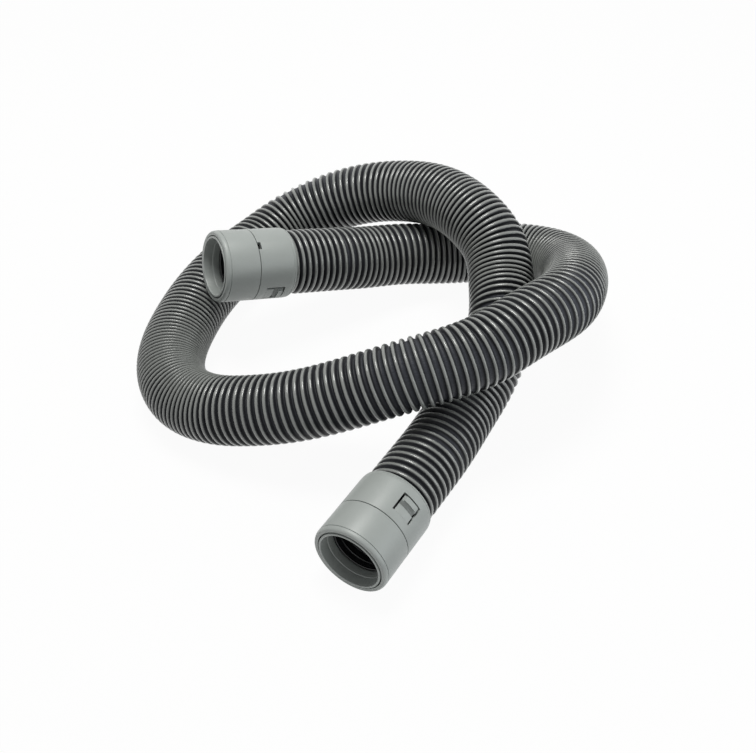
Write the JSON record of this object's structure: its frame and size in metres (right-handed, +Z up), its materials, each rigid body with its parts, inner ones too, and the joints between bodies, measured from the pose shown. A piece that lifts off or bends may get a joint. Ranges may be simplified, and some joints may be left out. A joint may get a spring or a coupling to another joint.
{
  "type": "vacuum hose",
  "caption": "Ribbed stretch suction hose lying in a loose knot, with a swivelling two-shell cuff and release latches at each end.",
  "frame": {"origin": "on the floor the hose lies on, below the middle of the box that holds the two cuffs", "axes": "+Z up, -Y towards the front cuff's mouth and the viewer, +X to the viewer's right"},
  "size_m": [0.2958, 0.3334, 0.0924],
  "materials": {
    "hose_film": "glossy flexible film over a bonded wire helix",
    "cuff_plastic": "satin moulded plastic",
    "ring_plastic": "dark satin moulded plastic",
    "seal_rubber": "matt black seal",
    "retainer_plastic": "natural acetal"
  },
  "bodies": {
    "hose": {"hose_tube": "hose_film", "rear_hose_ring": "ring_plastic", "front_hose_ring": "ring_plastic"},
    "rear_cuff": {"rear_collar": "cuff_plastic", "rear_sleeve": "cuff_plastic", "rear_liner": "cuff_plastic", "rear_seal_ring": "seal_rubber", "rear_retaining_ring": "retainer_plastic"},
    "front_cuff": {"front_collar": "cuff_plastic", "front_sleeve": "cuff_plastic", "front_liner": "cuff_plastic", "front_seal_ring": "seal_rubber", "front_retaining_ring": "retainer_plastic"},
    "rear_tab_a": {"rear_latch_a": "cuff_plastic"},
    "rear_tab_b": {"rear_latch_b": "cuff_plastic"},
    "front_tab_a": {"front_latch_a": "cuff_plastic"},
    "front_tab_b": {"front_latch_b": "cuff_plastic"}
  },
  "joints": [
    {"name": "rear_swivel", "type": "hinge", "parent": "hose", "child": "rear_cuff", "pos_m": [-0.0604, 0.0842, 0.0621], "axis": [0.869, 0.4238, -0.2554], "continuous": true},
    {"name": "front_swivel", "type": "hinge", "parent": "hose", "child": "front_cuff", "pos_m": [0.0275, -0.1137, 0.0226], "axis": [0.527, 0.8499, 0], "continuous": true},
    {"name": "rear_latch_a_press", "type": "hinge", "parent": "rear_cuff", "child": "rear_tab_a", "pos_m": [-0.04266, 0.11499, 0.06392], "axis": [-0.3933, 0.2784, -0.8762], "range_deg": [0, 7], "stiffness_Nm_per_rad": 0.1},
    {"name": "rear_latch_b_press", "type": "hinge", "parent": "rear_cuff", "child": "rear_tab_b", "pos_m": [-0.02948, 0.07715, 0.04598], "axis": [0.3933, -0.2784, 0.8762], "range_deg": [0, 7], "stiffness_Nm_per_rad": 0.1},
    {"name": "front_latch_a_press", "type": "hinge", "parent": "front_cuff", "child": "front_tab_a", "pos_m": [0.05444, -0.09746, 0.03922], "axis": [-0.6434, 0.3989, 0.6534], "range_deg": [0, 7], "stiffness_Nm_per_rad": 0.1},
    {"name": "front_latch_b_press", "type": "hinge", "parent": "front_cuff", "child": "front_tab_b", "pos_m": [0.03007, -0.08235, 0.00598], "axis": [0.6434, -0.3989, -0.6534], "range_deg": [0, 7], "stiffness_Nm_per_rad": 0.1}
  ]
}
